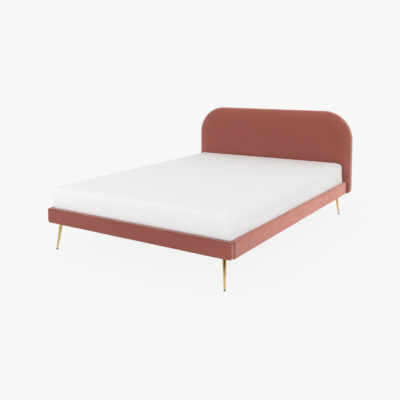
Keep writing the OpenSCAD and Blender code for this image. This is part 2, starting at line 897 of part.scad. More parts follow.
module centre_beam() {
    color(black_steel) difference() {
        along_y(beam_y0, beam_y1) difference() {
            rounded_rect([-beam_w / 2, beam_z0], [beam_w / 2, support_z], beam_edge_r);
            rounded_rect([-beam_w / 2 + beam_wall, beam_z0 + beam_wall],
                [beam_w / 2 - beam_wall, support_z - beam_wall], beam_edge_r - beam_wall);
        }
        at_cap_pegs(0) peg_hole(beam_wall);
        for (i = [1:support_count]) at_plate_screws(i) screw_hole();
    }
}

// A saddle for the beam's end, its back plate against y = 0 and its cradle towards +Y
module beam_bracket() {
    z0 = beam_z0 - bracket_t;
    difference() {
        union() {
            along_y(0, bracket_t) steel_plate([-bracket_x - bracket_ear, z0],
                [bracket_x + bracket_ear, bracket_top]);
            along_y(0, cradle_l) difference() {
                translate([-bracket_x, z0]) square([2 * bracket_x, support_z - z0]);
                translate([-bracket_x + bracket_t, beam_z0])
                    square([2 * (bracket_x - bracket_t), beam_h + over]);
            }
        }
        at_bracket_screws() screw_hole();
    }
}

// Two screws in each ear
module at_bracket_screws() {
    upper_z = bracket_top - bracket_screw_edge;
    for (s = [-1, 1], z = [upper_z, upper_z - bracket_screw_pitch])
        translate([s * (bracket_x + bracket_ear / 2), bracket_t, z]) rotate([90, 0, 0]) children();
}

module at_foot_bracket() {
    translate([0, foot_board_y, 0]) children();
}

module at_head_bracket() {
    translate([0, cross_y, 0]) mirror([0, 1, 0]) children();
}

module foot_bracket_screw_holes() {
    at_foot_bracket() at_bracket_screws() screw_hole();
}

module head_bracket_screw_holes() {
    at_head_bracket() at_bracket_screws() screw_hole();
}

module beam_bracket_foot() {
    color(black_steel) at_foot_bracket() beam_bracket();
}

module beam_bracket_head() {
    color(black_steel) at_head_bracket() beam_bracket();
}

module frame_screws() {
    color(zinc) {
        both_sides() at_ledge_screws() screw();
        at_foot_bracket() at_bracket_screws() screw();
        at_head_bracket() at_bracket_screws() screw();
    }
}

module at_plate_screws(i) {
    for (p = [-1, 1])
        translate([0, support_y(i) + p * (support_plate_l / 2 - support_screw_edge), support_z1])
            children();
}

module centre_leg(i) {
    y = support_y(i);
    color(black_steel) {
        difference() {
            along_z(support_z1, beam_z0) steel_plate([-beam_w / 2, y - support_plate_l / 2],
                [beam_w / 2, y + support_plate_l / 2]);
            at_plate_screws(i) screw_hole();
        }
        translate([0, y, 0]) along_z(support_z0, support_z1) difference() {
            circle(d = support_d);
            circle(d = support_d - 2 * support_wall);
        }
    }
}

module centre_leg_insert(i) {
    color(black) translate([0, support_y(i), support_z0]) difference() {
        union() {
            translate([0, 0, -support_collar_h]) cylinder(h = support_collar_h, d = support_d);
            cylinder(h = support_insert_l, d = support_d - 2 * support_wall - 2 * hole_gap);
        }
        translate([0, 0, -support_collar_h - over])
            cylinder(h = support_insert_l + support_collar_h + 2 * over, d = stud_d + 2 * hole_gap);
    }
}

module levelling_foot(i) {
    color(black) translate([0, support_y(i), 0]) {
        rotate_extrude() polygon([[0, 0], [pad_d / 2 - pad_bevel, 0], [pad_d / 2, pad_bevel],
            [pad_d / 2, pad_h / 2], [pad_d / 3, pad_h], [0, pad_h]]);
        translate([0, 0, pad_h]) cylinder(h = hex_h, d = hex_w / cos(30), $fn = 6);
        translate([0, 0, pad_h]) cylinder(h = stud_l, d = stud_d);
    }
}

module beam_screws() {
    color(zinc) for (i = [1:support_count]) at_plate_screws(i) screw();
}

// Mattress: rings of points round the plan, from the underside to the top
ring_corner_steps = 6;
ring_side_steps = 5;

// One ring, let out by swell at the sides and the foot end, drawn in by inset and then shrunk to the
// share f of its size
function mattress_ring(inset, swell, f) = let (
    x = mattress_w / 2 + swell - inset, y = (mattress_l + swell) / 2 - inset,
    r = mattress_corner_r - inset, turn = [[1, 1], [-1, 1], [-1, -1], [1, -1]])
    [for (k = [0:3]) let (
        c = [turn[k].x * (x - r), turn[k].y * (y - r)],
        corner = [for (j = [0:ring_corner_steps]) let (a = 90 * (k + j / ring_corner_steps))
            c + r * [cos(a), sin(a)]],
        last = corner[ring_corner_steps],
        next = let (q = turn[(k + 1) % 4]) [q.x * (x - r), q.y * (y - r)]
            + r * [cos(90 * (k + 1)), sin(90 * (k + 1))],
        run = [for (j = [1:ring_side_steps - 1]) last + (next - last) * j / ring_side_steps])
        each [for (p = concat(corner, run)) f * p]];

// How far a point of the top lies below the crown's line: all of the drop at a corner's middle, and
// less and less away from it
sag_power = 7;
sag_x = mattress_w / 2 + mattress_swell - mattress_corner_r * (1 - cos(45));
sag_y = (mattress_l + mattress_swell) / 2 - mattress_corner_r * (1 - cos(45));

function corner_sag(p) = mattress_corner_drop * pow(abs(p.x * p.y) / (sag_x * sag_y), sag_power);

roll_steps = 5;
side_steps = 4;
crown_shares = [0.9, 0.7, 0.45, 0.2];

// The swell's share at some heights: half of it at the rails' top, and all of it a little above
swell_rise = 16;
swell_shares = [[mattress_sink / 2 + mattress_bottom_roll / 2, 0.2], [mattress_sink, 0.5],
    [mattress_sink + swell_rise / 4, 0.78], [mattress_sink + swell_rise / 2, 0.92]];
side_z0 = mattress_sink + swell_rise;
side_z1 = mattress_t - mattress_top_roll;

// Each entry is inset, swell's share, share of the size, height and how much of the corner's sag it takes
mattress_profile = concat(
    [for (i = [0:roll_steps]) let (a = 90 * i / roll_steps)
        [mattress_bottom_roll * (1 - sin(a)), 0, 1, mattress_bottom_roll * (1 - cos(a)), 0]],
    [for (p = swell_shares) [0, p[1], 1, p[0], 0]],
    [for (i = [0:side_steps - 1]) let (t = i / side_steps)
        [mattress_waist * sin(180 * t), 1, 1, side_z0 + t * (side_z1 - side_z0), t * t]],
    [for (i = [0:roll_steps]) let (a = 90 * i / roll_steps)
        [mattress_top_roll * (1 - cos(a)), 1, 1, side_z1 + mattress_top_roll * sin(a), 1]],
    [for (f = crown_shares) [mattress_top_roll, 1, f, mattress_t + mattress_crown * (1 - f * f), 1]]);

module mattress() {
    swell_y = mattress_swell / 2;
    rings = [for (p = mattress_profile) let (ring = mattress_ring(p[0], p[1] * mattress_swell, p[2]))
        [for (q = ring) [q.x, q.y - p[1] * swell_y, p[3] - p[4] * corner_sag(q)]]];
    n = len(rings[0]);
    m = len(rings);
    bottom = n * m;
    top = bottom + 1;
    points = concat([for (ring = rings) each ring],
        [[0, 0, 0], [0, -swell_y, mattress_t + mattress_crown]]);
    walls = [for (i = [0:m - 2], j = [0:n - 1]) let (
        a = i * n + j, b = i * n + (j + 1) % n, c = a + n, d = b + n)
        each [[a, c, d], [a, d, b]]];
    ends = [for (j = [0:n - 1]) each [[bottom, j, (j + 1) % n],
        [top, (m - 1) * n + (j + 1) % n, (m - 1) * n + j]]];
    color(ticking) translate([0, rail_y0 + mattress_gap_foot + mattress_l / 2, mattress_z0])
        polyhedron(points, concat(walls, ends), convexity = 4);
}

headboard_stiles();
headboard_rails();
headboard_panel();
headboard_foam();
headboard_cover();
headboard_back_cloth();
foot_rail_board();
foot_rail_foam();
foot_rail_cover();
side_rail_board(-1);  // left_rail_board
side_rail_foam(-1);  // left_rail_foam
side_rail_cover(-1);  // left_rail_cover
side_rail_board(1);  // right_rail_board
side_rail_foam(1);  // right_rail_foam
side_rail_cover(1);  // right_rail_cover
head_cross_rail();
corner_blocks();
corner_angles();
leg(-1, "foot");  // leg_foot_left
leg(1, "foot");  // leg_foot_right
leg(-1, "head");  // leg_head_left
leg(1, "head");  // leg_head_right
leg_tip(-1, "foot");  // leg_tip_foot_left
leg_tip(1, "foot");  // leg_tip_foot_right
leg_tip(-1, "head");  // leg_tip_head_left
leg_tip(1, "head");  // leg_tip_head_right
ledge(-1);  // left_ledge
ledge(1);  // right_ledge
centre_beam();
beam_bracket_foot();
beam_bracket_head();
slat_caps_side(-1);  // slat_caps_left
slat_caps_side(1);  // slat_caps_right
slat_caps_centre();
mattress();
rail_bolts();
threaded_inserts();
leg_screws();
frame_screws();
beam_screws();
for (i = [1:slat_count]) slat_pair(i);
for (i = [1:support_count]) {
    centre_leg(i);
    centre_leg_insert(i);
    levelling_foot(i);
}
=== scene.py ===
"""Upholstered double bed: the finish of every piece, and the shapes of the covers, foams and mattress.

Metres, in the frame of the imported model: X across the bed, +Y from foot to head, +Z up.
"""

import json
import math

import bmesh
import bpy
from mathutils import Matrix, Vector, noise


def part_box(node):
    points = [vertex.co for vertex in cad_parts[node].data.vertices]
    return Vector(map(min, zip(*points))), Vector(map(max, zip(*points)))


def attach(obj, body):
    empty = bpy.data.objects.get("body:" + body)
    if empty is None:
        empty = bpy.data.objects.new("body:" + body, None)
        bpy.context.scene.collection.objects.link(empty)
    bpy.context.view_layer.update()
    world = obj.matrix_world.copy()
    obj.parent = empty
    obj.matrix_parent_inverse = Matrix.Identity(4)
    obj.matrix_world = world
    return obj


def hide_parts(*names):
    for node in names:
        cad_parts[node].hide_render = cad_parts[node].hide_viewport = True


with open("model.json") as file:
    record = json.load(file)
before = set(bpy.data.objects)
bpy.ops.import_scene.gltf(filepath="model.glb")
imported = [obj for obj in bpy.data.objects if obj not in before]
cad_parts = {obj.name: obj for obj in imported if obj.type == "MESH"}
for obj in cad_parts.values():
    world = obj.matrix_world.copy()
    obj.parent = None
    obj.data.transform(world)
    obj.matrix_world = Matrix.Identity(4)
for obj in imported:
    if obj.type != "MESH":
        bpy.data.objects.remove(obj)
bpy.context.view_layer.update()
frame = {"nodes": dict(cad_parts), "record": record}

MM = 0.001


# Camera: its place, heading and lens fit the photograph's edges
CAMERA_PLACE = (2.0693, -3.4439, 1.1678)
CAMERA_HEADING = 0.5703
CAMERA_DIP = 0.08
CAMERA_SENSOR = 36
CAMERA_LENS = 48.1922
CAMERA_SHIFT_Y = -0.2032


def make_camera():
    camera = bpy.data.objects.new("camera", bpy.data.cameras.new("camera"))
    bpy.context.scene.collection.objects.link(camera)
    camera.location = CAMERA_PLACE
    camera.rotation_euler = (math.pi / 2 - CAMERA_DIP, 0, CAMERA_HEADING)
    camera.data.sensor_width = CAMERA_SENSOR
    camera.data.lens = CAMERA_LENS
    camera.data.shift_y = CAMERA_SHIFT_Y
    bpy.context.scene.camera = camera


# Boxes of the pieces that are dressed here, from the frame
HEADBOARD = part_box("headboard_cover")
FOOT_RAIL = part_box("foot_rail_cover")
RIGHT_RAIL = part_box("right_rail_cover")
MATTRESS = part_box("mattress")
MATTRESS_MIDDLE = (MATTRESS[0] + MATTRESS[1]) / 2
MATTRESS_HALF = (MATTRESS[1] - MATTRESS[0]) / 2

# Covers: their cloth, hems and border seam
COVER_T = 1.5 * MM
HEM_T = 1.2 * MM
RETURN_W = 20 * MM
HEADBOARD_RETURN_W = 34 * MM
SEAM_W = 3 * MM
SEAM_DEPTH = 1.1 * MM
SEAM_BEHIND_ROLL = 2 * MM
RUMPLE_DEPTH = 0.5 * MM
CUTTER_SPARE = 20 * MM

# Headboard
HEADBOARD_CORNER_R = 245 * MM
HEADBOARD_FOOT_R = 28 * MM
HEADBOARD_ROLL_R = 26 * MM
HEADBOARD_BACK_R = 10 * MM
HEADBOARD_TIGHTENS_OVER = math.radians(60)
HEADBOARD_CROWN = 5 * MM
HEADBOARD_SWELL_REACH = 55 * MM
HEADBOARD_VOXEL = 6 * MM

# Rails
JOINT_R = 6 * MM
FOOT_LOWER_R = 20 * MM
FOOT_UPPER_R = 11 * MM
FOOT_END_R = 5 * MM
RAIL_TOP_R = 7 * MM
RAIL_BOTTOM_R = 4 * MM
RAIL_INNER_R = 5 * MM
RAIL_CUT_STEP = 40 * MM
SIDE_RAIL_DROPS = (15 * MM, 28 * MM, 40 * MM, 65 * MM)

# Painted light in the velvet's colour: painted sheen, pale, above 0, and painted shade, dark, below 0
SHEEN_BAND_W = 95 * MM
# Headboard: a little painted light all over, and painted sheen in a band along the rim
HEADBOARD_PAINTED_LIGHT = 0.13
HEADBOARD_RIM_SHEEN = 0.15
# Headboard: lighter towards the mattress, below HEADBOARD_LOW_TOP
HEADBOARD_LOW_LIFT = 0.09
HEADBOARD_LOW_TOP = 0.62
HEADBOARD_LOW_FADE = 0.2
# Headboard: painted highlight on the outer edge, behind the front roll
HEADBOARD_EDGE_HIGHLIGHT = 0.16
HEADBOARD_EDGE_FROM = 0.7
# Headboard: darker below the rails' top
HEADBOARD_BELOW_RAILS = -0.15
# Rails: painted shade along the top rims and in the corner joints
RAIL_RIM_H = 4 * MM
RIM_SHADE = -0.5
JOINT_SHADE_W = 11 * MM
# Foot rail: painted light rising from left to right and near the right end, and painted sheen on the rounded
# ends
FOOT_LIGHT = -0.04
FOOT_LIGHT_RISE = 0.11
FOOT_NEAR_LIGHT = 0.1
FOOT_NEAR_FROM = 0.88
FOOT_END_SHEEN = 0.45
FOOT_JOINT_SHADE = -0.6
# Side rails: painted sheen growing towards the head, and painted shade on the top rim, under the top, near
# the joint and in it
SIDE_SHEEN = 0.53
SIDE_SHEEN_RISE = 0.8
SIDE_RIM_SHARE = 0.8
SIDE_RIM_FALL = 0.25
SIDE_SHADE = 0.1
SIDE_SHADE_H = 40 * MM
SIDE_NEAR_JOINT_SHARE = 0.3
SIDE_NEAR_JOINT_SHADE_W = 30 * MM
SIDE_JOINT_SHADE = -0.5

# Foams under the covers
FOAM_SHORT = 7 * MM
FOAM_SHRINK = 3 * MM
FOAM_SKIN = 8 * MM
FOAM_RUMPLE_DEPTH = 0.2 * MM

# Legs: the height over which the painted dark reflection fades in up the tube
BRASS_SHADE_LOW = 62 * MM
BRASS_SHADE_TOP = 140 * MM

# Mattress: its rolls and crown, its swell over the rails, its lean to the left and its raised head corner
MATTRESS_VOXEL = 17.5 * MM
MATTRESS_CROWN = 6 * MM
MATTRESS_CORNER_R = 18 * MM
MATTRESS_CORNER_PROUD = 4 * MM
MATTRESS_TOP_ROLL = 26 * MM
MATTRESS_BOTTOM_ROLL = 20 * MM
MATTRESS_CORNER_DROP = 6 * MM
MATTRESS_PUFF = 5 * MM
MATTRESS_PROUD = 5 * MM
MATTRESS_HEAD_PROUD = 5 * MM
MATTRESS_LEAN = 5 * MM
MATTRESS_LEAN_H = 8 * MM
MATTRESS_SKEW = 9 * MM
MATTRESS_SKEW_H = 80 * MM
MATTRESS_HEAD_RISE = 10 * MM
MATTRESS_GAP = 0.7 * MM
MATTRESS_TUCK = 4 * MM
MATTRESS_ROLL_H = 14 * MM
MATTRESS_CUTS = [rise * MM for rise in (-14, -8, -5, -3, -1.5, 0, 0.7, 1.5, 3, 5, 8, 11, 15)]

# Studio
STUDIO_TONE = (0.93, 0.93, 0.93, 1)
FLOOR_SIZE = 30
FLOOR_GLOW = 0.94
WORLD_LIGHT = 0.92
LAMP_SIZE = 3.0
LAMP_AIM = (0, 0, 0.3)


# Modelling helpers

def primitive(add, name, **place):
    """Adds one primitive as a new object, alone selected, with its place in its mesh."""
    bpy.ops.object.select_all(action="DESELECT")
    add(**place)
    obj = bpy.context.object
    obj.name = name
    obj.data.name = name
    bpy.ops.object.transform_apply(location=True, rotation=True, scale=True)
    return obj


def block(name, lo, hi):
    lo, hi = Vector(lo), Vector(hi)
    return primitive(bpy.ops.mesh.primitive_cube_add, name, size=1, location=(lo + hi) / 2, scale=hi - lo)


def select_only(obj):
    bpy.ops.object.select_all(action="DESELECT")
    obj.select_set(True)
    bpy.context.view_layer.objects.active = obj


def copied(source, name):
    """A copy of an object with its own mesh, alone selected."""
    obj = source.copy()
    obj.data = source.data.copy()
    obj.name = name
    obj.data.name = name
    bpy.context.scene.collection.objects.link(obj)
    select_only(obj)
    return obj


def edit(obj, mode="EDGE"):
    bpy.context.view_layer.objects.active = obj
    bpy.ops.object.mode_set(mode="EDIT")
    bpy.ops.mesh.select_mode(type=mode)
    bpy.ops.mesh.select_all(action="DESELECT")


def done():
    bpy.ops.object.mode_set(mode="OBJECT")


def pick(obj, kind, test):
    """In edit mode, selects only those edges, faces or verts that pass the test; returns how many."""
    bpy.ops.mesh.select_all(action="DESELECT")
    mesh = bmesh.from_edit_mesh(obj.data)
    found = [item for item in getattr(mesh, kind) if test(item)]
    for item in found:
        item.select_set(True)
    mesh.select_flush_mode()
    bmesh.update_edit_mesh(obj.data)
    return len(found)


def near(a, b, slack=0.1 * MM):
    return abs(a - b) < slack


def clamped(value):
    return max(0, min(1, value))


def ends_at(edge, axis, value):
    return all(near(v.co[axis], value) for v in edge.verts)


def runs_along(edge, axis):
    d = edge.verts[1].co - edge.verts[0].co
    return abs(d[axis]) > 0.999 * d.length


def bevel(obj, test, radius, segments):
    if pick(obj, "edges", test):
        bpy.ops.mesh.bevel(offset=radius, segments=segments, profile=0.5, affect="EDGES")


def cut(obj, normal, place):
    """Cuts the whole mesh along a plane, so that it gets a line of edges there."""
    bpy.ops.mesh.select_all(action="SELECT")
    bpy.ops.mesh.bisect(plane_co=place, plane_no=normal)


def use(obj, kind, **settings):
    """Adds a modifier and applies it."""
    bpy.context.view_layer.objects.active = obj
    modifier = obj.modifiers.new(kind.title(), kind)
    for key, value in settings.items():
        setattr(modifier, key, value)
    bpy.ops.object.modifier_apply(modifier=modifier.name)


def smooth(obj, angle=40):
    select_only(obj)
    bpy.ops.object.shade_smooth_by_angle(angle=math.radians(angle))


def mirrored(source, name):
    """A copy on the other side of the bed, its faces still pointing outwards."""
    obj = copied(source, name)
    edit(obj)
    bpy.ops.mesh.select_all(action="SELECT")
    bpy.ops.transform.mirror(constraint_axis=(True, False, False), center_override=(0, 0, 0))
    bpy.ops.mesh.normals_make_consistent(inside=False)
    done()
    return obj


def dress(obj, material, body, slot, *replaced):
    obj.data.materials.clear()
    obj.data.materials.append(material)
    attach(obj, body)
    if replaced:
        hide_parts(*replaced)
    return obj


# Material helpers

class Finish:
    """One procedural material, whose patterns read the piece's own coordinates in metres."""

    def __init__(self, name, **sockets):
        self.material = bpy.data.materials.new(name)
        self.material.use_nodes = True
        self.tree = self.material.node_tree
        self.shader = self.tree.nodes["Principled BSDF"]
        for key, value in sockets.items():
            self.shader.inputs[key.replace("_", " ")].default_value = value
        self.place = self.node("ShaderNodeTexCoord").outputs["Object"]

    def node(self, kind, settings=(), **inputs):
        made = self.tree.nodes.new(kind)
        for key, value in dict(settings).items():
            setattr(made, key, value)
        for key, value in inputs.items():
            self.feed(made.inputs[key.replace("_", " ")], value)
        return made

    def feed(self, socket, value):
        if isinstance(value, bpy.types.NodeSocket):
            self.tree.links.new(value, socket)
        else:
            socket.default_value = value

    def stretched(self, x, y, z):
        """The piece's coordinates, with patterns drawn out along the axes that have a low number."""
        return self.node("ShaderNodeMapping", Vector=self.place, Scale=(x, y, z)).outputs["Vector"]

    def noise(self, scale, detail=2, roughness=0.5, vector=None):
        return self.node("ShaderNodeTexNoise", Vector=vector or self.place, Scale=scale,
                         Detail=detail, Roughness=roughness).outputs["Fac"]

    def between(self, value, low, high, to_low=0, to_high=1):
        return self.node("ShaderNodeMapRange", {"clamp": True}, Value=value, From_Min=low,
                         From_Max=high, To_Min=to_low, To_Max=to_high).outputs["Result"]

    def maths(self, operation, a, b=0.0):
        made = self.node("ShaderNodeMath", {"operation": operation})
        self.feed(made.inputs[0], a)
        self.feed(made.inputs[1], b)
        return made.outputs[0]

    def mix(self, factor, a, b):
        made = self.node("ShaderNodeMix", {"data_type": "RGBA"})
        self.feed(made.inputs[0], factor)
        self.feed(made.inputs[6], a)
        self.feed(made.inputs[7], b)
        return made.outputs[2]

    def ramp(self, value, *stops):
        made = self.node("ShaderNodeValToRGB", Fac=value)
        points = made.color_ramp.elements
        while len(points) < len(stops):
            points.new(0.5)
        for point, (place, colour) in zip(points, stops):
            point.position = place
            point.color = colour
        return made.outputs["Color"]

    def bump(self, height, depth, strength=1.0, under=None):
        made = self.node("ShaderNodeBump", Height=height, Distance=depth, Strength=strength)
        if under:
            self.feed(made.inputs["Normal"], under)
        return made.outputs["Normal"]

    def finish(self, colour=None, roughness=None, normal=None):
        for key, value in (("Base Color", colour), ("Roughness", roughness), ("Normal", normal)):
            if value is not None:
                self.feed(self.shader.inputs[key], value)
        return self.material


def rgb(r, g, b):
    return (r, g, b, 1)


# Cloth and foam

def velvet():
    """Short pile in dusty terracotta, with a sheen that lightens it where it is seen edge-on. Its colour also
    carries painted light from each piece's vertex values: painted sheen towards a pale colour above 0,
    painted shade towards a dark colour below 0, and lighter stroke marks where the painted sheen is strong.
    """
    deep = rgb(0.236, 0.053, 0.036)
    warm = rgb(0.256, 0.060, 0.043)
    # colour of the painted sheen, mixed in by the vertex value above 0
    painted_sheen = rgb(0.79, 0.325, 0.255)
    blotch = rgb(0.29, 0.084, 0.065)
    # colour of lighter stroke marks, which show only where the painted sheen is strong
    bright = rgb(0.84, 0.40, 0.32)
    # colour of the painted shade, mixed in where the vertex value is below 0
    painted_shade = rgb(0.12, 0.028, 0.018)
    fibre = rgb(0.20, 0.05, 0.037)
    f = Finish("velvet", Roughness=0.95, Specular_IOR_Level=0.15, Sheen_Weight=1.0,
               Sheen_Roughness=0.5, Sheen_Tint=rgb(1.0, 0.60, 0.53))
    stroked = f.noise(7, 4, 0.55, f.stretched(0.8, 0.6, 1.5))
    blotches = f.noise(13, 4, 0.6, f.stretched(0.6, 0.35, 1.2))
    strokes = f.noise(17, 3, 0.6, f.stretched(0.5, 0.3, 1.1))
    pile = f.noise(900, 2, 0.7)
    # painted light per vertex: painted sheen above 0, painted shade below 0
    painted_light = f.node("ShaderNodeAttribute", {"attribute_name": "painted_light"}).outputs["Fac"]
    base = f.mix(f.between(stroked, 0.36, 0.66), deep, warm)
    # painted sheen: lighter towards the pale sheen colour
    with_sheen = f.mix(f.maths("MULTIPLY", painted_light, 0.7), base, painted_sheen)
    marked = f.mix(f.between(blotches, 0.46, 0.72, 0, 0.4), with_sheen, blotch)
    # lighter stroke marks, strongest where the painted sheen is
    stroke = f.maths("MULTIPLY", f.maths("POWER", painted_light, 2.0), f.between(strokes, 0.5, 0.72, 0, 0.6))
    lifted = f.mix(stroke, marked, bright)
    # painted shade: darker towards the shade colour
    shaded = f.mix(f.between(painted_light, -1, 0, 0.75, 0), lifted, painted_shade)
    fibres = f.mix(f.between(pile, 0.3, 0.7, 0, 0.3), shaded, fibre)
    soft = f.bump(blotches, 2 * MM, 0.25)
    return f.finish(fibres, f.between(stroked, 0.3, 0.7, 0.9, 1.0), f.bump(pile, 0.4 * MM, 0.5, soft))


def ticking():
    """White knitted mattress ticking, with a fine diamond of stitches."""
    f = Finish("ticking", Roughness=0.85, Specular_IOR_Level=0.2, Sheen_Weight=0.15, Sheen_Roughness=0.5)
    wales = f.node("ShaderNodeTexWave", {"bands_direction": "DIAGONAL"}, Vector=f.place, Scale=260,
                   Distortion=1.0, Detail=1).outputs["Fac"]
    courses = f.node("ShaderNodeTexWave", {"bands_direction": "DIAGONAL"}, Vector=f.stretched(-1, 1, 1),
                     Scale=260, Distortion=1.0, Detail=1).outputs["Fac"]
    knit = f.maths("MULTIPLY", wales, courses)
    cloudy = f.noise(3, 2, 0.5)
    colour = f.mix(f.between(knit, 0.0, 0.6), rgb(0.80, 0.80, 0.80), rgb(0.86, 0.86, 0.86))
    colour = f.mix(f.between(cloudy, 0.3, 0.7, 0, 0.25), colour, rgb(0.83, 0.83, 0.84))
    return f.finish(colour, 0.85, f.bump(knit, 0.3 * MM, 0.5))


def dust_cloth():
    """Black non-woven cloth: pressed dots over matted fibres."""
    f = Finish("dust_cloth", Roughness=0.9, Specular_IOR_Level=0.25)
    fibres = f.noise(260, 6, 0.75)
    dots = f.node("ShaderNodeTexVoronoi", Vector=f.place, Scale=330).outputs["Distance"]
    colour = f.ramp(fibres, (0.35, rgb(0.010, 0.010, 0.011)), (0.7, rgb(0.030, 0.030, 0.032)))
    return f.finish(colour, f.between(fibres, 0.3, 0.7, 0.8, 0.95), f.bump(dots, 0.3 * MM, 0.7))


def foam():
    """Open-cell foam, cream coloured."""
    f = Finish("foam", Roughness=0.95, Specular_IOR_Level=0.15)
    cells = f.node("ShaderNodeTexVoronoi", Vector=f.place, Scale=420).outputs["Distance"]
    colour = f.ramp(cells, (0.1, rgb(0.55, 0.48, 0.30)), (0.6, rgb(0.86, 0.80, 0.60)))
    return f.finish(colour, 0.95, f.bump(cells, 0.6 * MM, 0.8))


# Wood

def grain(f, along, pale, dark, ring_scale=24):
    """Colour and height of long grain: rings stretched along one axis, with fine pores."""
    stretch = [9.0, 9.0, 9.0]
    stretch["XYZ".index(along)] = 0.55
    slow = f.noise(1.0, 3, 0.55, f.stretched(*stretch))
    rings = f.maths("FRACT", f.maths("MULTIPLY", slow, ring_scale))
    fine = f.noise(60.0, 3, 0.7, f.stretched(*[s / 9 if s > 1 else 0.02 for s in stretch]))
    colour = f.mix(f.between(rings, 0.55, 1.0, 0, 0.75), pale, dark)
    colour = f.mix(f.between(fine, 0.45, 0.75, 0, 0.35), colour, dark)
    return colour, f.maths("ADD", fine, f.maths("MULTIPLY", rings, 0.4))


def wood(name, along, pale, dark, roughness=0.6, **more):
    f = Finish(name, Specular_IOR_Level=0.35)
    colour, height = grain(f, along, pale, dark, **more)
    rough = f.between(height, 0.2, 1.2, roughness + 0.1, roughness - 0.1)
    return f.finish(colour, rough, f.bump(height, 0.25 * MM, 0.4))


def birch():
    """Pale lacquered birch slats."""
    f = Finish("birch", Specular_IOR_Level=0.45, Coat_Weight=0.15, Coat_Roughness=0.3)
    colour, height = grain(f, "X", rgb(0.74, 0.55, 0.33), rgb(0.60, 0.40, 0.21), 14)
    return f.finish(colour, f.between(height, 0.2, 1.2, 0.5, 0.36), f.bump(height, 0.15 * MM, 0.3))


def plywood():
    """Plywood boards: long grain."""
    return wood("plywood", "X", rgb(0.62, 0.43, 0.23), rgb(0.45, 0.28, 0.13))


def pine():
    return wood("pine", "X", rgb(0.70, 0.50, 0.26), rgb(0.50, 0.29, 0.12), ring_scale=20)


# Metal and plastic

def brass():
    """Brushed brass of the legs: fine lines, faint handling marks, a painted pale reflection at the edges and
    a painted dark reflection streak down the middle.

    The painted dark reflection is full on the right leg at the foot, and about a third as strong on the
    others.
    """
    clean = rgb(0.66, 0.48, 0.235)
    handled = rgb(0.60, 0.42, 0.19)
    pale = rgb(0.98, 0.88, 0.68)
    dark = rgb(0.07, 0.034, 0.004)
    f = Finish("brass", Metallic=1.0, Anisotropic=0.3)
    lines = f.noise(900, 2, 0.6, f.stretched(1, 1, 0.02))
    marks = f.noise(35, 3, 0.6)
    at = f.node("ShaderNodeSeparateXYZ", Vector=f.place).outputs
    colour = f.mix(f.between(marks, 0.4, 0.7, 0, 0.5), clean, handled)
    # painted reflection: paler towards the edges, where the surface turns away from the view
    facing = f.node("ShaderNodeLayerWeight", Blend=0.5).outputs["Facing"]
    colour = f.mix(f.between(facing, 0.14, 0.5, 0, 0.85), colour, pale)
    # painted dark reflection: fades in up the tube, strongest on the right leg at the foot and in the middle
    # of each leg
    lengthwise = f.between(at["Z"], BRASS_SHADE_LOW, BRASS_SHADE_TOP)
    leg_share = f.between(f.maths("SUBTRACT", at["X"], at["Y"]), 0.6, 1.4, 0.35, 1.0)
    across = f.between(facing, 0.03, 0.22, 1.0, 0.0)
    painted_dark_reflection = f.maths("MULTIPLY", f.maths("MULTIPLY", lengthwise, leg_share), across)
    colour = f.mix(painted_dark_reflection, colour, dark)
    rough = f.maths("ADD", f.between(lines, 0.3, 0.7, 0.12, 0.2), f.between(marks, 0.45, 0.8, 0, 0.08))
    return f.finish(colour, rough, f.bump(lines, 0.02 * MM, 0.3))


def insert_brass():
    f = Finish("insert_brass", Metallic=1.0)
    turned = f.noise(500, 2, 0.6)
    colour = f.mix(turned, rgb(0.72, 0.53, 0.22), rgb(0.60, 0.43, 0.17))
    return f.finish(colour, f.between(turned, 0.3, 0.7, 0.28, 0.42))


def zinc():
    """Zinc-plated steel with its faint crystal bloom."""
    f = Finish("zinc", Metallic=1.0)
    bloom = f.node("ShaderNodeTexVoronoi", Vector=f.place, Scale=160).outputs["Color"]
    fine = f.noise(700, 2, 0.6)
    colour = f.mix(0.12, rgb(0.62, 0.63, 0.65), bloom)
    return f.finish(colour, f.between(fine, 0.3, 0.7, 0.3, 0.46), f.bump(fine, 0.02 * MM, 0.4))


def black_steel():
    """Black powder coat: a fine orange peel, a little rubbed."""
    f = Finish("black_steel", Specular_IOR_Level=0.5)
    peel = f.noise(520, 2, 0.5)
    rubbed = f.noise(18, 4, 0.6)
    colour = f.mix(f.between(rubbed, 0.5, 0.8, 0, 0.6), rgb(0.022, 0.022, 0.024), rgb(0.045, 0.045, 0.048))
    return f.finish(colour, f.between(rubbed, 0.3, 0.7, 0.42, 0.56), f.bump(peel, 0.12 * MM, 0.5))


def moulded(name, tone):
    """Moulded plastic with a fine spark-eroded grain."""
    f = Finish(name, Specular_IOR_Level=0.45)
    spark = f.noise(1400, 3, 0.7)
    flow = f.noise(22, 2, 0.5)
    dark = rgb(tone, tone, tone)
    light = rgb(1.6 * tone, 1.6 * tone, 1.65 * tone)
    colour = f.mix(f.between(flow, 0.4, 0.7), dark, light)
    return f.finish(colour, f.between(spark, 0.3, 0.7, 0.45, 0.6), f.bump(spark, 0.08 * MM, 0.5))


# Covers

def bevel_rims(obj, radius_at, widest, segments):
    """Rounds each edge by its own radius, or not where that is 0. Starts in edit mode and leaves it."""
    mesh = bmesh.from_edit_mesh(obj.data)
    weight = mesh.edges.layers.float.new("bevel_weight_edge")
    for edge in mesh.edges:
        edge[weight] = radius_at(edge) / widest
    bmesh.update_edit_mesh(obj.data)
    done()
    use(obj, "BEVEL", limit_method="WEIGHT", width=widest, segments=segments, use_clamp_overlap=False)


